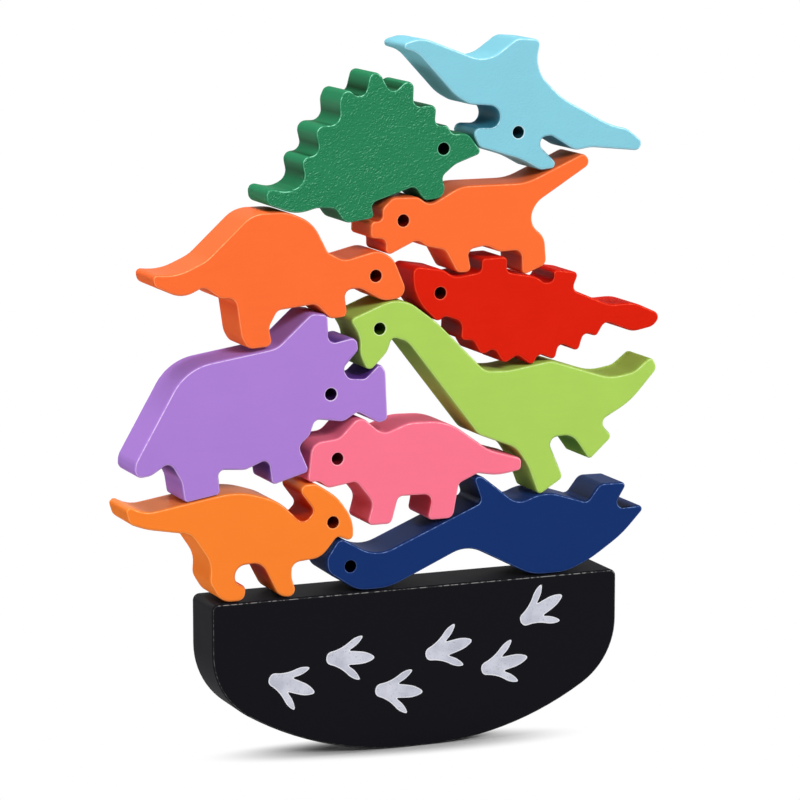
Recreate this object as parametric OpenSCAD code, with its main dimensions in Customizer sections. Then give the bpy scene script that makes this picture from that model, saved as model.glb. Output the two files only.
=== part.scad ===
// Dinosaur balance game: ten sawn animal blocks stacked on a rocking base.
// Frame: X to the right, Y away from the player, Z up, origin on the line that the base rocks on.

/* [Rocking base] */
// Length of the straight edge that the animals stand on
base_w = 160; // [140:1:195]
// Height of the base at its middle
base_h = 60; // [50:1:90]
// Thickness of the base board
base_t = 22; // [14:0.5:40]
// Radius of the curved edge that rocks on the table
rocker_r = 120; // [110:1:240]
// Length of the flat in the middle of the curved edge, on which the loaded base stands still
rest_flat = 8; // [2:0.5:16]
// Radius where the sides run into the curved edge
side_r = 28; // [10:1:34]
// Radius of the two upper corners
top_corner_r = 2.5; // [2:0.1:8]

/* [Animal blocks] */
// Thickness of the boards that the animals are sawn from
block_t = 20; // [10:0.5:30]
// Size of one square of the pattern that the animals are drawn on
square = 1; // [0.8:0.01:1.5]
// Diameter of the drilled eyes
eye_d = 4.5; // [2:0.1:6]
// Width of the broken edge round each eye
eye_ease = 0.4; // [0.1:0.05:0.8]

/* [Finish] */
// Width of the broken edges round each board
edge_ease = 1; // [0.3:0.05:1.3]
// Room left between pieces that lean or stand on each other
seat_gap = 0.3; // [0.1:0.05:0.5]

/* [Hidden] */

// Furthest that a facet may lie from the arc it stands for
arc_error = 0.03;
// Points of an outline that are nearer than this are one point
same_point = 0.001;
// How far a drill runs past the faces of a board
drill_over = 1;

// Slope at which the rocking curve meets the side curves
rock_angle = asin((base_w / 2 - rest_flat / 2 - side_r) / (rocker_r - side_r));
// Where the tangents of the side curve cross, and those of the rocking curve
side_corner_z = rocker_r - (rocker_r - side_r) * cos(rock_angle) - side_r * tan(45 - rock_angle / 2);
rock_corner_x = rest_flat / 2 + rocker_r * tan(rock_angle / 2);

// Each outline is a clockwise list of corners [x, z, radius], seen from the front.
// The animals are drawn in squares, from the middle of the edge that they stand on.
base_outline = [
    [-base_w / 2, base_h, top_corner_r],
    [base_w / 2, base_h, top_corner_r],
    [base_w / 2, side_corner_z, side_r],
    [rock_corner_x, 0, rocker_r],
    [-rock_corner_x, 0, rocker_r],
    [-base_w / 2, side_corner_z, side_r]
];

parasaurolophus_outline = [
    [-110.5, 31.4, 4], [-113, 39.6, 1.8], [-104.5, 35.2, 12], [-69, 40.8, 30], [-54, 36, 20],
    [-44.5, 27, 2.5], [-40.5, 31, 2], [-48, 41, 2.6], [-39.6, 41.3, 4], [-31, 35.6, 18],
    [-24.6, 26.5, 14], [-25, 18.2, 2], [-31.2, 20.8, 1.6], [-37.5, 13.4, 8], [-48.8, 12.4, 3.2],
    [-48.8, 7, 6], [-46.4, 0, 2.8], [-53.9, 0, 5.6], [-60.8, 13.4, 5], [-70.9, 13, 4],
    [-70.4, 7.4, 2.4], [-66.4, 5.4, 2.4], [-67, 0, 3.2], [-76, 0, 7], [-80.7, 7.8, 6],
    [-80, 14.8, 10], [-87.4, 25.9, 6], [-104, 28.9, 30]
];

plesiosaur_outline = [
    [-35.4, 8, 5], [-35.6, 13.2, 4], [-30.4, 20.8, 3], [-16, 12.4, 14], [25.4, 29.4, 1.8],
    [24.4, 32.5, 5], [21.8, 39.8, 1.7], [26.2, 38.9, 3], [40.4, 27.6, 7], [51, 31.9, 18],
    [68.4, 26.2, 2.2], [73.6, 32.8, 4], [85.4, 32.6, 1.6], [79.6, 23, 2], [93.6, 23.4, 1.6],
    [83, 12.4, 40], [70, 4, 40], [60, 0, 20], [46, 0, 20], [20, 13.4, 13],
    [-11, 0, 22], [-23.5, 0, 12]
];

triceratops_outline = [
    [-108.8, 47.4, 3], [-108.2, 53.5, 6], [-89, 86.4, 20], [-54.4, 91.6, 8], [-41, 103.4, 4],
    [-34.6, 102.6, 2.2], [-34.2, 92, 2.2], [-23.2, 94, 2.8], [-22.8, 88.6, 2.2], [-28.6, 82.4, 2],
    [-26.6, 79, 2], [-20.6, 78.4, 2], [-14.4, 83.9, 1.7], [-12.2, 80.4, 4], [-11.4, 62.4, 2],
    [-15, 61.4, 3], [-23.3, 66, 2], [-28.6, 62.8, 4], [-39.6, 64.4, 2.4], [-41.6, 58.8, 4],
    [-45.8, 55, 2.4], [-41.7, 45.6, 1.8], [-56.6, 41.4, 1.8], [-58, 51, 1.8], [-66.5, 47.8, 6],
    [-76.8, 48.6, 2], [-75.8, 39.8, 2], [-89.8, 37.5, 1.8], [-91, 45.4, 6], [-95.2, 52.4, 2.2],
    [-102, 48.2, 6]
];

protoceratops_outline = [
    [-43, 41.5, 1.8], [-41.2, 56.2, 5], [-30.6, 57.2, 5], [-22.4, 65.2, 4], [-13.4, 57.6, 5],
    [-3, 61.2, 14], [12, 60.8, 22], [28.8, 48.6, 16], [41.9, 44.7, 2.2], [41.6, 40, 1.8],
    [32, 38.6, 20], [24.2, 40, 2], [16.8, 36.8, 2.2], [14.4, 24, 3], [3.8, 24, 2],
    [5.6, 33.4, 2.2], [-7.2, 33.8, 2.2], [-10, 23.8, 2.4], [-20, 23.8, 2], [-17.6, 32.4, 4],
    [-24, 40.4, 2], [-34.8, 38.8, 3], [-38.2, 41.6, 3]
];

brachiosaurus_outline = [
    [-19, 79.9, 2.2], [-22.6, 87, 8], [-22.4, 93.6, 10], [-26.4, 100.2, 1.8], [-6.4, 108, 14],
    [8, 97.2, 40], [27, 78.2, 6], [36, 77.8, 20], [53.4, 80.4, 7], [77.5, 72.4, 18],
    [87, 74, 6], [94.6, 79.8, 2], [97, 74.6, 3], [86, 62.6, 30], [73.4, 56, 2.4],
    [78.8, 50.2, 2], [69.2, 41.6, 1.7], [62, 51.6, 6], [52.2, 51.2, 2.6], [58.8, 36, 2.2],
    [48.6, 29.8, 1.7], [44.1, 41.3, 22], [39.4, 48.4, 8], [24.2, 54.4, 6], [-4, 90.6, 7],
    [-9.8, 92.4, 1.6], [-11.4, 87.4, 8]
];

sailback_outline = [
    [-100.4, 115.8, 3], [-101.2, 120.6, 1.8], [-92, 119.6, 20], [-81, 124.4, 14], [-63.4, 140.4, 12],
    [-50, 140.4, 16], [-40, 136, 14], [-34.4, 125, 2], [-28.4, 121.8, 6], [-15, 125, 8],
    [-9, 121.5, 8], [-2.8, 107, 4], [-13, 105.8, 8], [-22.4, 111, 5], [-28.2, 110.8, 2.6],
    [-26.8, 101, 2.4], [-33.6, 100.6, 3], [-39.4, 106.2, 3], [-53.8, 104.8, 3], [-57, 99, 4],
    [-55.6, 92, 2.4], [-65.4, 91.4, 4], [-68, 96, 8], [-70, 109.8, 3], [-75.5, 110.2, 4],
    [-81.8, 114.6, 3], [-89.5, 111, 10]
];

ankylosaurus_outline = [
    [-1.9, 118.4, 2.6], [10.5, 116.4, 6], [14.6, 113.4, 5], [24.9, 114.8, 1.6], [25.2, 119.7, 1.8],
    [35.9, 120, 2], [35.6, 114.2, 1.8], [47, 112, 10], [50.6, 109.6, 1.8], [53.8, 109.6, 1.8],
    [53.9, 114.2, 1.7], [64.6, 112.6, 1.7], [62, 106.2, 2], [77, 99.8, 10], [87, 100.2, 14],
    [98.8, 94.8, 2.6], [95, 90.4, 5], [86.6, 88.8, 8], [75.2, 93.4, 2.4], [71.8, 88, 1.7],
    [66.6, 89.6, 2], [64.4, 82.8, 1.7], [56.6, 86.4, 1.8], [55, 80.1, 1.7], [48.5, 82.9, 2],
    [45.8, 78.6, 1.8], [39.8, 82.9, 2], [34.3, 79.9, 2.2], [30.4, 85.9, 2], [25.4, 83.5, 2.4],
    [22, 89.4, 2], [17, 89.8, 2], [17.4, 96.6, 3], [11, 99, 2], [8.2, 96.8, 2.4],
    [1.4, 103.4, 14], [-1.7, 110, 14]
];

tyrannosaurus_outline = [
    [-18.4, 129, 1.7], [-18.2, 135.4, 2], [-13.8, 135.4, 1.6], [-13.8, 139.8, 3], [-9.6, 143.6, 4],
    [0.3, 143.4, 4], [5, 140.2, 4], [17, 146.6, 14], [43, 146.6, 20], [66, 156.6, 2.4],
    [69.6, 152.6, 2.6], [47.2, 138.9, 9], [44, 131.4, 6], [50.6, 126.6, 7], [51.4, 116, 3],
    [41.4, 112.1, 1.8], [40.8, 121.6, 2.4], [32.6, 121.4, 4], [27, 124, 6], [20, 122.8, 2.4],
    [21.6, 114.7, 2], [15.6, 114.6, 3], [10.8, 123.2, 3], [3.6, 124.8, 5], [0, 127.4, 3],
    [-12.4, 121.8, 2], [-12.6, 128.2, 1.8]
];

stegosaurus_outline = [
    [-58, 143, 3], [-58.4, 149.4, 2.4], [-49.6, 147.4, 8], [-43.2, 150.6, 4.4], [-45.2, 159.9, 3],
    [-37.6, 160, 3], [-40.1, 170.8, 3.4], [-29.8, 170.6, 3.6], [-30.4, 178.8, 5], [-27.8, 184.2, 2.8],
    [-20.9, 178.9, 2.6], [-17.9, 190.3, 2.6], [-13.8, 187.6, 4], [-9.8, 180.8, 2.4], [-5, 185, 3],
    [-1, 185.2, 2.6], [-1.4, 176, 2.4], [7.8, 176.5, 2.4], [7, 169.1, 1.9], [11.8, 168.8, 1.8],
    [13.9, 165.6, 2], [19.8, 165.8, 5], [25.8, 158, 1.7], [15, 154.2, 9], [9.8, 150, 2.4],
    [12.4, 142.4, 4], [2.8, 141.5, 3], [-1.2, 146.8, 2], [-17.6, 141.6, 2], [-16.4, 136.2, 1.8],
    [-28, 134.7, 4], [-32, 140.4, 3], [-38.6, 140.8, 6], [-46.4, 138.8, 14]
];

pterosaur_outline = [
    [-9.4, 197.6, 1.6], [1.6, 200.8, 12], [27, 191, 12], [39, 199.4, 5], [48.8, 198.6, 2.4],
    [46.4, 187.6, 12], [57, 177, 30], [77, 166.2, 30], [83.6, 164.8, 8], [90.4, 159.4, 2.6],
    [88, 156.2, 2.2], [69, 158.2, 10], [62.4, 157.2, 6], [52.6, 163, 2.4], [48.8, 162.4, 2],
    [48.8, 159.4, 2], [55.2, 153.2, 2], [53.8, 151.1, 1.8], [48.6, 150.6, 5], [41, 154.8, 20],
    [24.2, 160, 3], [21.6, 165.2, 2.8], [23.6, 167.6, 2.4], [31.8, 167.2, 3.3], [32, 174.4, 3.7],
    [20.4, 175.6, 8], [14.8, 178.8, 16], [0, 194.8, 10]
];

// Eye of each animal, in the same squares
parasaurolophus_eye = [-33, 26.3];
plesiosaur_eye = [-26.3, 9.5];
triceratops_eye = [-33.7, 73.4];
protoceratops_eye = [-31.2, 49.6];
brachiosaurus_eye = [-14.7, 96.1];
sailback_eye = [-16.2, 115.4];
ankylosaurus_eye = [9, 107.8];
tyrannosaurus_eye = [-5.5, 134.9];
stegosaurus_eye = [10.2, 160.2];
pterosaur_eye = [39.6, 165];

function in_plane(corner) = [corner[0], corner[1]];
function unit(v) = v / norm(v);
function turned(v, angle) = [v.x * cos(angle) - v.y * sin(angle), v.x * sin(angle) + v.y * cos(angle)];

// One corner of an outline as a tangent arc, drawn in by an inset.
// The inset makes an outside arc smaller and an inside arc larger, about the same centre.
function corner_arc(before, corner, after, inset) =
    let (
        here = in_plane(corner),
        way_in = unit(here - in_plane(before)),
        way_out = unit(in_plane(after) - here),
        radius = corner[2],
        turn = atan2(cross(way_in, way_out), way_in * way_out),
        side = sign(turn),
        spoke = side * [way_in.y, -way_in.x],
        centre = here - way_in * radius * tan(abs(turn) / 2) - spoke * radius,
        steps = ceil(abs(turn) / (2 * acos(1 - arc_error / radius))),
        reach = max(radius + side * inset, arc_error)
    )
    [for (i = [0:steps]) centre + turned(spoke, turn * i / steps) * reach];

// A whole outline as points, with each corner rounded, and one point where two arcs meet
function ring(outline, inset) =
    let (
        last = len(outline) - 1,
        points = [
            for (i = [0:last])
            each corner_arc(outline[i == 0 ? last : i - 1], outline[i], outline[i == last ? 0 : i + 1], inset)
        ],
        end = len(points) - 1
    )
    [for (i = [0:end]) if (norm(points[i] - points[i == end ? 0 : i + 1]) > same_point) points[i]];

function in_squares(outline) = [for (corner = outline) corner * square];

// Whether a clockwise triangle covers a point
function covers(a, b, c, p) = cross(b - a, p - a) <= 0 && cross(c - b, p - b) <= 0 && cross(a - c, p - c) <= 0;

// Corner k of a loop and its two neighbours
function ear(loop, k) =
    let (count = len(loop))
    [loop[(k + count - 1) % count], loop[k % count], loop[(k + 1) % count]];

// Whether that corner can be clipped off without touching the rest of the loop
function is_free(points, loop, k) =
    let (
        a = points[ear(loop, k)[0]],
        b = points[ear(loop, k)[1]],
        c = points[ear(loop, k)[2]],
        others = [for (i = [2:len(loop) - 2]) points[loop[(k + i) % len(loop)]]]
    )
    cross(b - a, c - b) < 0 && len([for (p = others) if (covers(a, b, c, p)) p]) == 0;

function next_free(points, loop, k, left) =
    left == 0 || is_free(points, loop, k) ? k : next_free(points, loop, k + 1, left - 1);

// A flat face cut into triangles, one ear after the other
function clipped(points, loop, start = 0) =
    len(loop) == 3 ? [loop] :
    let (
        k = next_free(points, loop, start, len(loop)) % len(loop),
        rest = [for (i = [0:len(loop) - 1]) if (i != k) loop[i]]
    )
    concat([ear(loop, k)], clipped(points, rest, k + 1));

// A board sawn to an outline, with its front and rear edges broken
module board(outline, thickness, trim) {
    depths = [-thickness / 2, edge_ease - thickness / 2, thickness / 2 - edge_ease, thickness / 2];
    insets = [trim + edge_ease, trim, trim, trim + edge_ease];
    rings = [for (k = [0:3]) ring(outline, insets[k])];
    count = len(rings[0]);
    points = [for (k = [0:3]) for (p = rings[k]) [p.x, depths[k], p.y]];
    front = clipped(rings[0], [for (i = [0:count - 1]) i]);
    rear = [for (f = front) [f[2], f[1], f[0]] + 3 * count * [1, 1, 1]];
    walls = [
        for (k = [0:2])
        for (i = [0:count - 1])
        let (j = (i + 1) % count)
        [k * count + i, (k + 1) * count + i, (k + 1) * count + j, k * count + j]
    ];
    polyhedron(points, concat(front, rear, walls));
}

// The drill for an eye, wider at both faces of the board so that the hole's edges are broken
module eye_drill() {
    end = block_t / 2 + drill_over;
    narrow_end = block_t / 2 - eye_ease;
    bore = eye_d / 2;
    mouth = bore + eye_ease + drill_over;
    profile = [[0, -end], [mouth, -end], [bore, -narrow_end], [bore, narrow_end], [mouth, end], [0, end]];
    rotate([90, 0, 0]) rotate_extrude($fn = 48) polygon(profile);
}

// An animal on the base, kept clear of its neighbours by the seat gap
module animal(outline, eye) {
    translate([0, 0, base_h + seat_gap / 2]) {
        difference() {
            board(in_squares(outline), block_t, seat_gap / 2);
            translate([eye.x * square, 0, eye.y * square]) eye_drill();
        }
    }
}

module rocker_base() {
    color("#18181c") board(base_outline, base_t, 0);
}

module parasaurolophus() {
    color("#ff8230") animal(parasaurolophus_outline, parasaurolophus_eye);
}

module plesiosaur() {
    color("#1a336d") animal(plesiosaur_outline, plesiosaur_eye);
}

module triceratops() {
    color("#ac80d6") animal(triceratops_outline, triceratops_eye);
}

module protoceratops() {
    color("#ff7690") animal(protoceratops_outline, protoceratops_eye);
}

module brachiosaurus() {
    color("#a8d05f") animal(brachiosaurus_outline, brachiosaurus_eye);
}

module sailback() {
    color("#ff7036") animal(sailback_outline, sailback_eye);
}

module ankylosaurus() {
    color("#d9210f") animal(ankylosaurus_outline, ankylosaurus_eye);
}

module tyrannosaurus() {
    color("#ff7036") animal(tyrannosaurus_outline, tyrannosaurus_eye);
}

module stegosaurus() {
    color("#2f8558") animal(stegosaurus_outline, stegosaurus_eye);
}

module pterosaur() {
    color("#87cadd") animal(pterosaur_outline, pterosaur_eye);
}

rocker_base();
parasaurolophus();
plesiosaur();
triceratops();
protoceratops();
brachiosaurus();
sailback();
ankylosaurus();
tyrannosaurus();
stegosaurus();
pterosaur();
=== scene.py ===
from functools import partial
from math import cos, radians, sin

import bmesh
import bpy
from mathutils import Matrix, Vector
from mathutils.bvhtree import BVHTree


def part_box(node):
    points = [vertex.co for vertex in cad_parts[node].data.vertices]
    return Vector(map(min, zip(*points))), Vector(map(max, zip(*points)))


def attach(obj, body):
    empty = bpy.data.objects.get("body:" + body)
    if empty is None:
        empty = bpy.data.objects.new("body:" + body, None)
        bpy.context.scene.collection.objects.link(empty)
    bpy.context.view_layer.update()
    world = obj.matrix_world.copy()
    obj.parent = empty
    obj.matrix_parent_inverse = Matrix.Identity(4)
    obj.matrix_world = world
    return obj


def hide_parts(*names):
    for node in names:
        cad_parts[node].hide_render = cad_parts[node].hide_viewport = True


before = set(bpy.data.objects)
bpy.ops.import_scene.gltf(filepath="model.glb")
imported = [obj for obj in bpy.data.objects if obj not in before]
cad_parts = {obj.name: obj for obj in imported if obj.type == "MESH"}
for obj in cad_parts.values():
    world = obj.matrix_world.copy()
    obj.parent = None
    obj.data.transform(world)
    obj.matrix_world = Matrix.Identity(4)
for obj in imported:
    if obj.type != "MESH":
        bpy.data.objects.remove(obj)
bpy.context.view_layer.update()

# Rocking base
# A board painted satin black, with a straight top edge and a curved lower edge that rolls on the table.
# It is sawn from one board, its edges are rounded over with sandpaper, and the paint is thin along the
# rims, most of all on the top edge where the animals are set down; the pale rims are partly a painted
# highlight.

MM = 0.001
# How far a surface is turned to the front or back: 0 on a wall, 0.7 on a broken edge, 1 on a face
WALL_BELOW = 0.1
EDGE_BETWEEN = (0.5, 0.9)


def board_copy(node):
    """A CAD board as clean faces: its loose triangles merged, and flat areas joined to one face."""
    mesh = bmesh.new()
    mesh.from_mesh(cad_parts[node].data)
    bmesh.ops.remove_doubles(mesh, verts=mesh.verts, dist=0.001 * MM)
    bmesh.ops.dissolve_limit(mesh, angle_limit=radians(0.2), verts=mesh.verts, edges=mesh.edges)
    mesh.normal_update()
    return mesh


def mark_bore(mesh, widest):
    """Gives the second material to the walls of a drilled eye, which are a narrow loop of their own."""
    left = {face for face in mesh.faces if abs(face.normal.y) < WALL_BELOW}
    while left:
        loop = [left.pop()]
        for face in loop:
            near = {other for edge in face.edges for other in edge.link_faces} & left
            left -= near
            loop.extend(near)
        across = [vert.co.x for face in loop for vert in face.verts]
        if max(across) - min(across) < widest:
            for face in loop:
                face.material_index = 1


def closed_in(walls, point, outward, reach):
    """How far a point of a wall is closed in by the walls of its own board, from 0 to 1."""
    clear_of_wall = 0.1 * MM
    start = Vector((point.x, 0, point.z)) + outward * clear_of_wall
    blocked = 0
    total = 0
    for degrees_off in range(-80, 81, 10):
        off = radians(degrees_off)
        way = Vector((
            outward.x * cos(off) - outward.z * sin(off), 0, outward.x * sin(off) + outward.z * cos(off),
        ))
        far = walls.ray_cast(start, way, reach)[3]
        total += cos(off)
        if far is not None:
            blocked += cos(off) * (1 - far / reach)
    return blocked / total


def round_over(mesh, rings):
    """Turns each flat broken edge into a round one that runs smoothly into face and wall. Returns normals.

    The edge round a drilled eye is marked; it is drawn pale, partly as paintless wood, partly as a painted
    highlight.
    The recesses between legs, horns and spikes are marked too, for the painted shade that darkens them."""
    eye_rim = mesh.verts.layers.float.new("eye_rim")
    recess_shade = mesh.verts.layers.float.new("recess_shade")
    walls = BVHTree.FromBMesh(mesh)
    least, most = EDGE_BETWEEN
    same_depth = 0.1 * MM
    bands = []
    for face in mesh.faces:
        if least < abs(face.normal.y) < most:
            bands.append([
                edge for edge in face.edges if abs(edge.verts[0].co.y - edge.verts[1].co.y) > same_depth
            ])
    rails = dict.fromkeys(edge for crossing in bands for edge in crossing)
    normals = {}
    for edge in rails:
        outer, inner = sorted(edge.verts, key=lambda vert: -abs(vert.co.y))
        centre = Vector((outer.co.x, inner.co.y, outer.co.z))
        to_face = outer.co - centre
        to_wall = inner.co - centre
        normals[outer] = to_face.normalized()
        normals[inner] = to_wall.normalized()
        drilled = any(face.material_index == 1 for face in inner.link_faces)
        inner[eye_rim] = drilled
        inner[recess_shade] = 0 if drilled else closed_in(walls, inner.co, normals[inner], reach=20 * MM)
        rail = []
        start = outer
        for k in range(1, rings + 1):
            angle = radians(90) * k / (rings + 1)
            start = bmesh.utils.edge_split(edge, start, 0.5)[1]
            start.co = centre + to_face * cos(angle) + to_wall * sin(angle)
            start[eye_rim] = drilled
            start[recess_shade] = inner[recess_shade] * sin(angle)
            normals[start] = normals[outer] * cos(angle) + normals[inner] * sin(angle)
            rail.append(start)
        rails[edge] = rail
    for first, second in bands:
        for a, b in zip(rails[first], rails[second]):
            shared = next(face for face in a.link_faces if b in face.verts)
            bmesh.utils.face_split(shared, a, b)
    return normals


def painted_board(node, materials):
    """The board that shows in place of a CAD board, riding on the body of the same name."""
    mesh = board_copy(node)
    mark_bore(mesh, widest=8 * MM)
    normals = round_over(mesh, rings=3)
    data = bpy.data.meshes.new("painted_" + node)
    directions = [normals[vert] for vert in mesh.verts]
    mesh.to_mesh(data)
    mesh.free()
    data.polygons.foreach_set("use_smooth", [True] * len(data.polygons))
    data.normals_split_custom_set_from_vertices(directions)
    for material in materials:
        data.materials.append(material)
    piece = bpy.data.objects.new("painted_" + node, data)
    bpy.context.scene.collection.objects.link(piece)
    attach(piece, node)
    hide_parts(node)


def add_node(tree, kind, settings, inputs):
    """Adds a node: first its settings, then the values or links of its sockets. Gives its outputs."""
    made = tree.nodes.new(kind)
    for name, value in settings.items():
        setattr(made, name, value)
    for key, value in inputs.items():
        if isinstance(value, bpy.types.NodeSocket):
            tree.links.new(value, made.inputs[key])
        else:
            made.inputs[key].default_value = value
    return made.outputs


class Shade:
    """A value that changes over a surface. Arithmetic on it adds Math nodes to the material."""

    def __init__(self, tree, socket):
        self.tree = tree
        self.socket = socket

    def node(self, kind, settings, inputs, output=0):
        """Adds a shader node, which may read other values of this kind, and gives one of its outputs."""
        links = {key: value.socket if isinstance(value, Shade) else value for key, value in inputs.items()}
        return Shade(self.tree, add_node(self.tree, "ShaderNode" + kind, settings, links)[output])

    def maths(self, operation, first, second):
        return self.node("Math", {"operation": operation}, {0: first, 1: second})

    def __add__(self, other):
        return self.maths("ADD", self, other)

    def __sub__(self, other):
        return self.maths("SUBTRACT", self, other)

    def __rsub__(self, other):
        return self.maths("SUBTRACT", other, self)

    def __mul__(self, other):
        return self.maths("MULTIPLY", self, other)

    def __abs__(self):
        return self.maths("ABSOLUTE", self, 0)

    def part(self, axis):
        """One axis of a vector."""
        return self.node("SeparateXYZ", {}, {0: self}, output=axis)

    def noise(self, scale, detail=2, stretch=(1, 1, 1), twist=0):
        """Even noise from 0 to 1, with the given number of bumps to the metre, stretched and twisted."""
        place = self.node("Mapping", {}, {"Vector": self, "Scale": stretch})
        inputs = {"Vector": place, "Scale": scale, "Detail": detail, "Distortion": twist}
        return self.node("TexNoise", {}, inputs)

    def attribute(self, name):
        """A value that the mesh keeps for each of its corners."""
        return self.node("Attribute", {"attribute_name": name}, {}, output="Fac")

    def step(self, low, high):
        """0 below low, 1 above high and smooth between."""
        settings = {"interpolation_type": "SMOOTHSTEP"}
        return self.node("MapRange", settings, {"Value": self, "From Min": low, "From Max": high})

    def tint(self, below, above):
        """From one colour to another as the value goes from 0 to 1."""
        return self.node("Mix", {"data_type": "RGBA"}, {0: self, 6: below, 7: above}, output=2)

    def feed(self, shader, name):
        """Links the value to an input of a shader."""
        self.tree.links.new(self.socket, shader.inputs[name])


def linear(red, green, blue, gain=1.0):
    """A screen colour of 0 to 255 as the linear colour that shaders use."""
    parts = [value / 255 for value in (red, green, blue)]
    parts = [p / 12.92 if p <= 0.04045 else ((p + 0.055) / 1.055) ** 2.4 for p in parts]
    return (*[min(p * gain, 1) for p in parts], 1)


def deepened(colour, deepening=1.9):
    """The colour made darker and stronger, for painted shade in recesses and drilled eyes."""
    return [255 * (value / 255) ** deepening for value in colour]


def new_material(name):
    """A material, its main shader, and the places and directions on its surface."""
    material = bpy.data.materials.new(name)
    material.use_nodes = True
    tree = material.node_tree
    shader = tree.nodes["Principled BSDF"]
    found = tree.nodes.new("ShaderNodeTexCoord")
    return material, shader, Shade(tree, found.outputs["Object"]), Shade(tree, found.outputs["Normal"])


def wrinkled_skin(place):
    """Fine slanting wrinkles: their height, and how far it drops over a short way up."""
    leaning = place.node("Mapping", {}, {"Vector": place, "Rotation": (0, 0.5, 0)})
    above = leaning.node("Mapping", {}, {"Vector": leaning, "Location": (0, 0, 0.36 * MM)})
    pattern = {"scale": 740, "stretch": (0.6, 1, 1), "twist": 2.5}
    height = leaning.noise(**pattern)
    return height, height - above.noise(**pattern)


def paint(
    name, colour, wear_and_highlight_colour, ring,
    roughness=0.56, shine=0.01, wrinkled=0.04, rim_wear_and_highlight=0.45, rubbed=0.6, polish=0.0,
):
    """Satin paint on sawn wood, a little uneven, with painted shade that darkens it in the recesses.

    From 0 to 1: ring is how pale the edge of the eye is, as paintless wood and painted highlight,
    rim_wear_and_highlight how pale the rims are all along, as thin paint and painted highlight, rubbed how
    much of the rims is rubbed pale in spots, shine how strongly the paint mirrors light, wrinkled how
    wrinkled the faces are, with a painted highlight and painted shade on the wrinkles, and polish how
    strong a gloss lies on the tops."""
    material, shader, place, facing = new_material(name)
    flat = abs(facing.part(1))
    upward = facing.part(2)

    # The coat, cloudy and grained, with saw lines on the walls, and painted shade in the recesses between
    # legs, horns and spikes
    clouds = place.noise(70)
    grain = place.noise(500, stretch=(0.12, 1, 1))
    skin = place.noise(1500)
    saw_lines = place.noise(900, stretch=(1, 0.03, 1)) * (1 - flat)
    recess_shade = place.attribute("recess_shade").step(0.04, 0.35)
    uneven = clouds * 0.5 + grain * 0.3 + saw_lines * 0.2
    coat = uneven.tint(linear(*colour, 0.93), linear(*colour, 1.07))
    # Painted shade: the recesses are drawn in a darker, stronger colour
    coat = recess_shade.tint(coat, linear(*deepened(colour), 0.6))

    # Wrinkles come in patches, with painted shade in their hollows and a painted highlight on the slopes
    # that face up
    wrinkles, drop = wrinkled_skin(place)
    patches = (place.noise(45).step(0.25, 0.7) * 0.7 + 0.3) * flat * wrinkled
    painted_dimple_shade = (0 - drop).step(0.05, 0.2) * patches
    painted_glints = drop.step(0.12, 0.27) * patches
    coat = painted_dimple_shade.tint(coat, linear(*colour, 0.5))
    coat = (painted_glints * 0.6).tint(coat, linear(*wear_and_highlight_colour))

    # Rims are pale on the crest of the rounded edge, partly thin paint and partly a painted highlight,
    # most of all on rims that face up
    crest = flat.step(0.7, 0.78) * (1 - flat.step(0.85, 0.93))
    up_weight = upward.step(0.05, 0.3) * 0.7 + 0.3
    spots = place.noise(650, detail=4).step(0.67 - 0.3 * rubbed, 0.77 - 0.3 * rubbed)
    wear_and_highlight = crest * (up_weight * spots * (1 - rim_wear_and_highlight) + rim_wear_and_highlight)
    bare_and_highlight = wear_and_highlight.maths("MAXIMUM", wear_and_highlight, place.attribute("eye_rim") * ring)
    bare_and_highlight.tint(coat, linear(*wear_and_highlight_colour)).feed(shader, "Base Color")

    # The surface varies a little around the given roughness
    (clouds * 0.08 + skin * 0.06 + (roughness - 0.07)).feed(shader, "Roughness")
    height = grain * 0.25 + skin * 0.35 + wrinkles * (1.4 * wrinkled) + saw_lines * 0.5
    bump = place.node("Bump", {}, {"Strength": 0.35, "Distance": 0.08 * MM, "Height": height})
    bump.feed(shader, "Normal")
    shader.inputs["Specular IOR Level"].default_value = shine
    if polish:
        (upward.step(0.3, 0.9) * (1 - recess_shade) * polish).feed(shader, "Coat Weight")
        shader.inputs["Coat Roughness"].default_value = 0.3
    return material


black_paint = paint(
    "black_paint", (15, 15, 20), (140, 138, 136), ring=0,
    roughness=0.65, shine=0.05, wrinkled=0.0, rim_wear_and_highlight=0.08, rubbed=0.7,
)
painted_board("rocker_base", [black_paint])

# Printed footprints
# A trail of white three-toed footprints, screen printed on the front of the base: a thin coat of ink with
# a few pinholes, left and right foot by turns along a shallow arc.

INK_HEIGHT = 0.03 * MM
BEAD_WIDTH = 0.5 * MM
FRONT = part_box("rocker_base")[0][1]
# Half of one footprint in millimetres, from the heel to the tip of the middle toe
HALF_PRINT = [
    (-5.4, 0), (-4.6, 2.2), (-1.6, 2.9), (1.8, 4.6), (5.2, 7.6), (9.2, 8.6),
    (6.6, 4.8), (3.0, 2.6), (6.4, 2.5), (10.6, 2.1), (14.6, 0),
]


def smoothed(points):
    """A closed outline with its corners cut off at a quarter of their sides, three times over."""
    for _ in range(3):
        cut = []
        for start, end in zip(points, points[1:] + points[:1]):
            cut += [start.lerp(end, 0.25), start.lerp(end, 0.75)]
        points = cut
    return points


def drawn_in(points, distance):
    """A clockwise outline moved inwards, with sharp corners moved no more than twice as far."""
    moved = []
    for before, point, after in zip(points[-1:] + points[:-1], points, points[1:] + points[:1]):
        way_in = (point - before).normalized()
        along = (way_in + (after - point).normalized()).normalized()
        inward = Vector((along.z, 0, -along.x))
        moved.append(point + inward * distance / max(along.dot(way_in), 0.5))
    return moved


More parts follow.
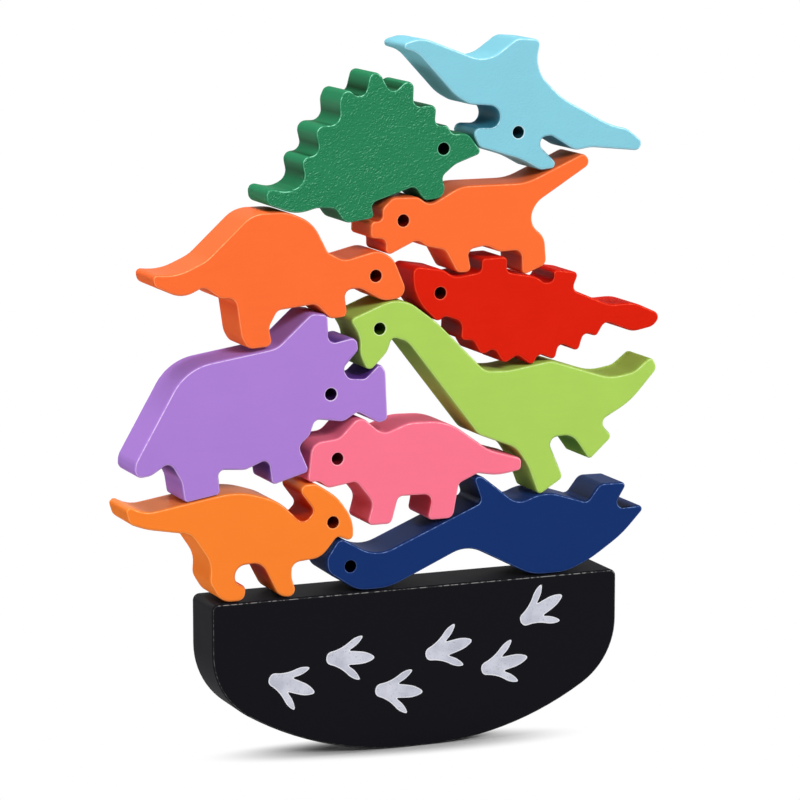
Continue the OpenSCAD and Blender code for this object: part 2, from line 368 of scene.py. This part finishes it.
def footprint():
    """One print with three toes as a low prism on y = 0 that points along +X, with its bead marked."""
    half = [Vector((x * MM, 0, z * MM)) for x, z in HALF_PRINT]
    outline = half + [Vector((point.x, 0, -point.z)) for point in half[-2:0:-1]]
    edge = smoothed(outline)
    field = smoothed(drawn_in(outline, BEAD_WIDTH))
    raised = Vector((0, -INK_HEIGHT, 0))
    mesh = bmesh.new()
    bead = mesh.verts.layers.float.new("bead")
    low = [mesh.verts.new(point) for point in edge]
    high = [mesh.verts.new(point + raised) for point in edge]
    inner = [mesh.verts.new(point + raised) for point in field]
    for vert in low + high:
        vert[bead] = 1.0
    mesh.faces.new(inner)
    mesh.faces.new(low[::-1])
    for k in range(len(edge)):
        mesh.faces.new((low[k - 1], low[k], high[k], high[k - 1]))
        mesh.faces.new((high[k - 1], high[k], inner[k], inner[k - 1]))
    bmesh.ops.recalc_face_normals(mesh, faces=mesh.faces)
    data = bpy.data.meshes.new("footprint")
    mesh.to_mesh(data)
    mesh.free()
    piece = bpy.data.objects.new("footprint", data)
    bpy.context.scene.collection.objects.link(piece)
    return piece


def print_ink():
    """White ink, thicker in a bead along its edge, that the black shows through in pinholes."""
    material, shader, place, _ = new_material("print_ink")
    cover = place.noise(160, detail=3).step(0.25, 0.75)
    pinholes = place.noise(2200, detail=1).step(0.66, 0.72)
    coat = cover.tint(linear(186, 188, 202), linear(212, 214, 226))
    holed = (pinholes * 0.6).tint(coat, linear(110, 110, 118))
    bead = place.attribute("bead").step(0.1, 0.7)
    bead.tint(holed, linear(234, 235, 240)).feed(shader, "Base Color")
    (cover * 0.1 + 0.5).feed(shader, "Roughness")
    shader.inputs["Specular IOR Level"].default_value = 0.1
    return material


def trail_tree():
    """Geometry Nodes that set copies of one footprint along an arc, to its left and right by turns."""
    tree = bpy.data.node_groups.new("print_trail", "GeometryNodeTree")
    tree.interface.new_socket("Footprint", in_out="INPUT", socket_type="NodeSocketGeometry")
    for name, kind in [("Start", "Vector"), ("Middle", "Vector"), ("End", "Vector"), ("Count", "Int"),
                       ("Step aside", "Float"), ("Toe turn", "Float"), ("Ink", "Material")]:
        tree.interface.new_socket(name, in_out="INPUT", socket_type="NodeSocket" + kind)
    tree.interface.new_socket("Trail", in_out="OUTPUT", socket_type="NodeSocketGeometry")
    given = tree.nodes.new("NodeGroupInput").outputs
    add = partial(add_node, tree)

    def vector(operation, inputs):
        return add("ShaderNodeVectorMath", {"operation": operation}, inputs)["Vector"]

    arc = add("GeometryNodeCurveQuadraticBezier", {},
              {"Start": given["Start"], "Middle": given["Middle"], "End": given["End"]})["Curve"]
    points = add("GeometryNodeCurveToPoints", {"mode": "COUNT"}, {"Curve": arc, "Count": given["Count"]})
    index = add("GeometryNodeInputIndex", {}, {})["Index"]
    odd = add("ShaderNodeMath", {"operation": "MODULO"}, {0: index, 1: 2.0})["Value"]
    side = add("ShaderNodeMath", {"operation": "MULTIPLY_ADD"}, {0: odd, 1: 2.0, 2: -1.0})["Value"]
    outward = vector("CROSS_PRODUCT", {0: points["Tangent"], 1: (0, 1, 0)})
    outward = vector("SCALE", {0: outward, "Scale": side})
    shift = vector("SCALE", {0: outward, "Scale": given["Step aside"]})
    moved = add("GeometryNodeSetPosition", {}, {"Geometry": points["Points"], "Offset": shift})["Geometry"]
    toe_out = vector("SCALE", {0: outward, "Scale": given["Toe turn"]})
    ahead = vector("ADD", {0: points["Tangent"], 1: toe_out})
    turned = add("FunctionNodeAxesToRotation", {"primary_axis": "X", "secondary_axis": "Y"},
                 {"Primary Axis": ahead, "Secondary Axis": (0, 1, 0)})["Rotation"]
    prints = add("GeometryNodeInstanceOnPoints", {},
                 {"Points": moved, "Instance": given["Footprint"], "Rotation": turned})["Instances"]
    plain = add("GeometryNodeRealizeInstances", {}, {"Geometry": prints})["Geometry"]
    inked = add("GeometryNodeSetMaterial", {}, {"Geometry": plain, "Material": given["Ink"]})["Geometry"]
    tree.links.new(inked, tree.nodes.new("NodeGroupOutput").inputs["Trail"])
    return tree


def bare_mesh(piece, name):
    """What the piece's modifiers make, as a plain mesh in a new object. The old object goes."""
    seen = piece.evaluated_get(bpy.context.evaluated_depsgraph_get())
    data = bpy.data.meshes.new_from_object(seen)
    data.name = name
    made = bpy.data.objects.new(name, data)
    bpy.context.scene.collection.objects.link(made)
    bpy.data.objects.remove(piece)
    return made


walk = footprint()
trail = walk.modifiers.new("print_trail", "NODES")
trail.node_group = trail_tree()
TRAIL_SIZES = {
    "Start": (-52 * MM, FRONT, 35 * MM), "Middle": (0, FRONT, 19 * MM), "End": (48 * MM, FRONT, 40 * MM),
    "Count": 6, "Step aside": 6 * MM, "Toe turn": 0.1, "Ink": print_ink(),
}
for socket in trail.node_group.interface.items_tree:
    if socket.name in TRAIL_SIZES:
        trail[socket.identifier] = TRAIL_SIZES[socket.name]
prints = bare_mesh(walk, "printed_footprints")
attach(prints, "rocker_base")

# Animal blocks
# Ten animals sawn from one thickness of board, painted each in one colour, rounded over along both faces
# and drilled through for an eye. They are loose: each stands or leans on those below.

BLOCKS = [
    ("parasaurolophus", "amber_paint"), ("plesiosaur", "navy_paint"), ("triceratops", "purple_paint"),
    ("protoceratops", "pink_paint"), ("brachiosaurus", "lime_paint"), ("sailback", "orange_paint"),
    ("ankylosaurus", "red_paint"), ("tyrannosaurus", "orange_paint"), ("stegosaurus", "green_paint"),
    ("pterosaur", "light_blue_paint"),
]
PAINTS = {
    "amber_paint": dict(colour=(255, 132, 48), wear_and_highlight_colour=(255, 186, 126), ring=0.45, polish=0.3),
    "navy_paint": dict(
        colour=(23, 50, 108), wear_and_highlight_colour=(110, 136, 186), ring=0.1,
        roughness=0.58, shine=0.02, wrinkled=0.02, rim_wear_and_highlight=0.3, rubbed=0.7, polish=0.1,
    ),
    "purple_paint": dict(
        colour=(172, 128, 213), wear_and_highlight_colour=(228, 206, 242), ring=0.9, wrinkled=0.03, rubbed=0.95,
    ),
    "pink_paint": dict(colour=(255, 120, 145), wear_and_highlight_colour=(255, 190, 198), ring=0.5),
    "lime_paint": dict(colour=(172, 210, 93), wear_and_highlight_colour=(216, 238, 172), ring=0.9, rim_wear_and_highlight=0.5),
    "orange_paint": dict(colour=(255, 112, 54), wear_and_highlight_colour=(255, 172, 128), ring=0.5, polish=0.15),
    "red_paint": dict(colour=(218, 33, 15), wear_and_highlight_colour=(240, 96, 68), ring=0.7, rim_wear_and_highlight=0.35),
    "green_paint": dict(
        colour=(42, 129, 86), wear_and_highlight_colour=(150, 226, 190), ring=0.5,
        roughness=0.55, shine=0.015, wrinkled=1.0, rim_wear_and_highlight=0.15, rubbed=0.75,
    ),
    "light_blue_paint": dict(
        colour=(134, 203, 220), wear_and_highlight_colour=(206, 238, 246), ring=0.9, wrinkled=0.15, rubbed=0.7,
    ),
}


def painted_bore_shade(name, colour):
    """The inside of a drilled eye, drawn dark as painted shade, with a trace of the block's colour."""
    material, shader, place, _ = new_material(name)
    streaks = place.noise(700, stretch=(1, 0.05, 1))
    bore_shade = streaks.tint(linear(*deepened(colour), 0.12), linear(*deepened(colour), 0.3))
    bore_shade.feed(shader, "Base Color")
    shader.inputs["Roughness"].default_value = 0.8
    shader.inputs["Specular IOR Level"].default_value = 0.0
    return material


finishes = {}
for slot, look in PAINTS.items():
    finishes[slot] = [paint(slot, **look), painted_bore_shade(slot + "_bore", look["colour"])]
for node, slot in BLOCKS:
    painted_board(node, finishes[slot])

# Floor
# A wide, matt, pale table top that the toy stands on. It shows the soft shadow under the base and turns to
# plain white further out, so that no edge of it shows.

# Half of the floor's width in metres
FLOOR_HALF = 20
# Its grey where it is looked at, and where it only throws light on the toy
GREY_SEEN = (0.5, 0.5, 0.5, 1)
GREY_UNSEEN = (0.45, 0.45, 0.45, 1)
# The long oval that the shadow lies in, and from where to where it turns to white across that oval
SHADOW = {"Location": (-0.007, -0.006, 0), "Rotation": (0, 0, -0.11), "Scale": (3.6, 0.85, 1)}
SHADOW_FADE = (0.007, 0.021)


def looked_at(tree):
    """1 where the eye looks, straight, in a mirror or through glass, and 0 where only light goes."""
    path = tree.nodes.new("ShaderNodeLightPath")
    seen = Shade(tree, path.outputs["Is Camera Ray"])
    for ray in ("Is Glossy Ray", "Is Transmission Ray"):
        seen = seen.maths("MAXIMUM", seen, Shade(tree, path.outputs[ray]))
    return seen


def pale_floor():
    """Grey in the shadow and plain white outside it. The white is only for the eye and lights nothing."""
    material, shader, place, _ = new_material("pale_floor")
    tree = material.node_tree
    seen = looked_at(tree)
    seen.tint(GREY_UNSEEN, GREY_SEEN).feed(shader, "Base Color")
    shader.inputs["Roughness"].default_value = 0.9
    shader.inputs["Specular IOR Level"].default_value = 0.0
    oval = place.node("Mapping", {"vector_type": "TEXTURE"}, {"Vector": place, **SHADOW})
    away = oval.node("VectorMath", {"operation": "LENGTH"}, {0: oval}, output="Value")
    white = place.node("Emission", {}, {"Color": (1, 1, 1, 1), "Strength": 1})
    grey = Shade(tree, shader.outputs[0])
    mixed = place.node("MixShader", {}, {0: seen * away.step(*SHADOW_FADE), 1: grey, 2: white})
    mixed.feed(tree.nodes["Material Output"], "Surface")
    return material


floor_data = bpy.data.meshes.new("floor")
corners = [(-1, -1), (1, -1), (1, 1), (-1, 1)]
floor_data.from_pydata([(x * FLOOR_HALF, y * FLOOR_HALF, 0) for x, y in corners], [], [(0, 1, 2, 3)])
floor_data.materials.append(pale_floor())
floor = bpy.data.objects.new("floor", floor_data)
bpy.context.scene.collection.objects.link(floor)

# Light
# Soft round lamps in a dim white room: a wide one high in front, and smaller ones above, on each side and
# behind. Those at the sides stand in line with the boards and light the walls more than the faces.

ROOM_LIGHT = 0.1
world = bpy.data.worlds.new("room")
bpy.context.scene.world = world
world.use_nodes = True
room = world.node_tree.nodes["Background"]
room.inputs["Color"].default_value = (1, 1, 1, 1)
(looked_at(world.node_tree) * (1 - ROOM_LIGHT) + ROOM_LIGHT).feed(room, "Strength")

# What the lamps point at, half way up the stack
MIDDLE = Vector((0, 0, 0.13))
# Each lamp's place and width in metres, and its power in watts
LAMPS = [
    ("front_lamp", (0.1, -1.75, 1.25), 0.8, 33.5),
    ("left_lamp", (-1.4, -0.05, 0.1), 0.5, 8),
    ("top_lamp", (-0.3, 0.1, 1.5), 0.6, 13),
    ("right_lamp", (1.3, -0.1, 0.4), 0.6, 8),
    ("back_lamp", (0, 1.45, 0.1), 0.3, 12),
]
for name, place, width, power in LAMPS:
    lamp = bpy.data.lights.new(name, "AREA")
    lamp.shape = "DISK"
    lamp.size = width
    lamp.energy = power
    holder = bpy.data.objects.new(name, lamp)
    holder.location = place
    holder.rotation_euler = (MIDDLE - Vector(place)).to_track_quat("-Z", "Y").to_euler()
    bpy.context.scene.collection.objects.link(holder)

# Camera
# It looks at the front from the left and a little above, from about 1.4 metres away. Its long lens keeps
# the boards' edges nearly parallel.

CAMERA_PLACE = (-0.53765, -1.29773, 0.37258)
CAMERA_YAW = 0.39094
CAMERA_PITCH = 0.17263
FOCAL_PIXELS = 3902
FRAME_PIXELS = 800
lens = bpy.data.cameras.new("camera")
lens.sensor_width = 36
lens.lens = FOCAL_PIXELS / FRAME_PIXELS * lens.sensor_width
camera = bpy.data.objects.new("camera", lens)
camera.location = CAMERA_PLACE
ahead = Vector(
    (sin(CAMERA_YAW) * cos(CAMERA_PITCH), cos(CAMERA_YAW) * cos(CAMERA_PITCH), -sin(CAMERA_PITCH))
)
camera.rotation_euler = ahead.to_track_quat("-Z", "Y").to_euler()
bpy.context.scene.collection.objects.link(camera)
bpy.context.scene.camera = camera
bpy.context.scene.view_settings.view_transform = "Standard"
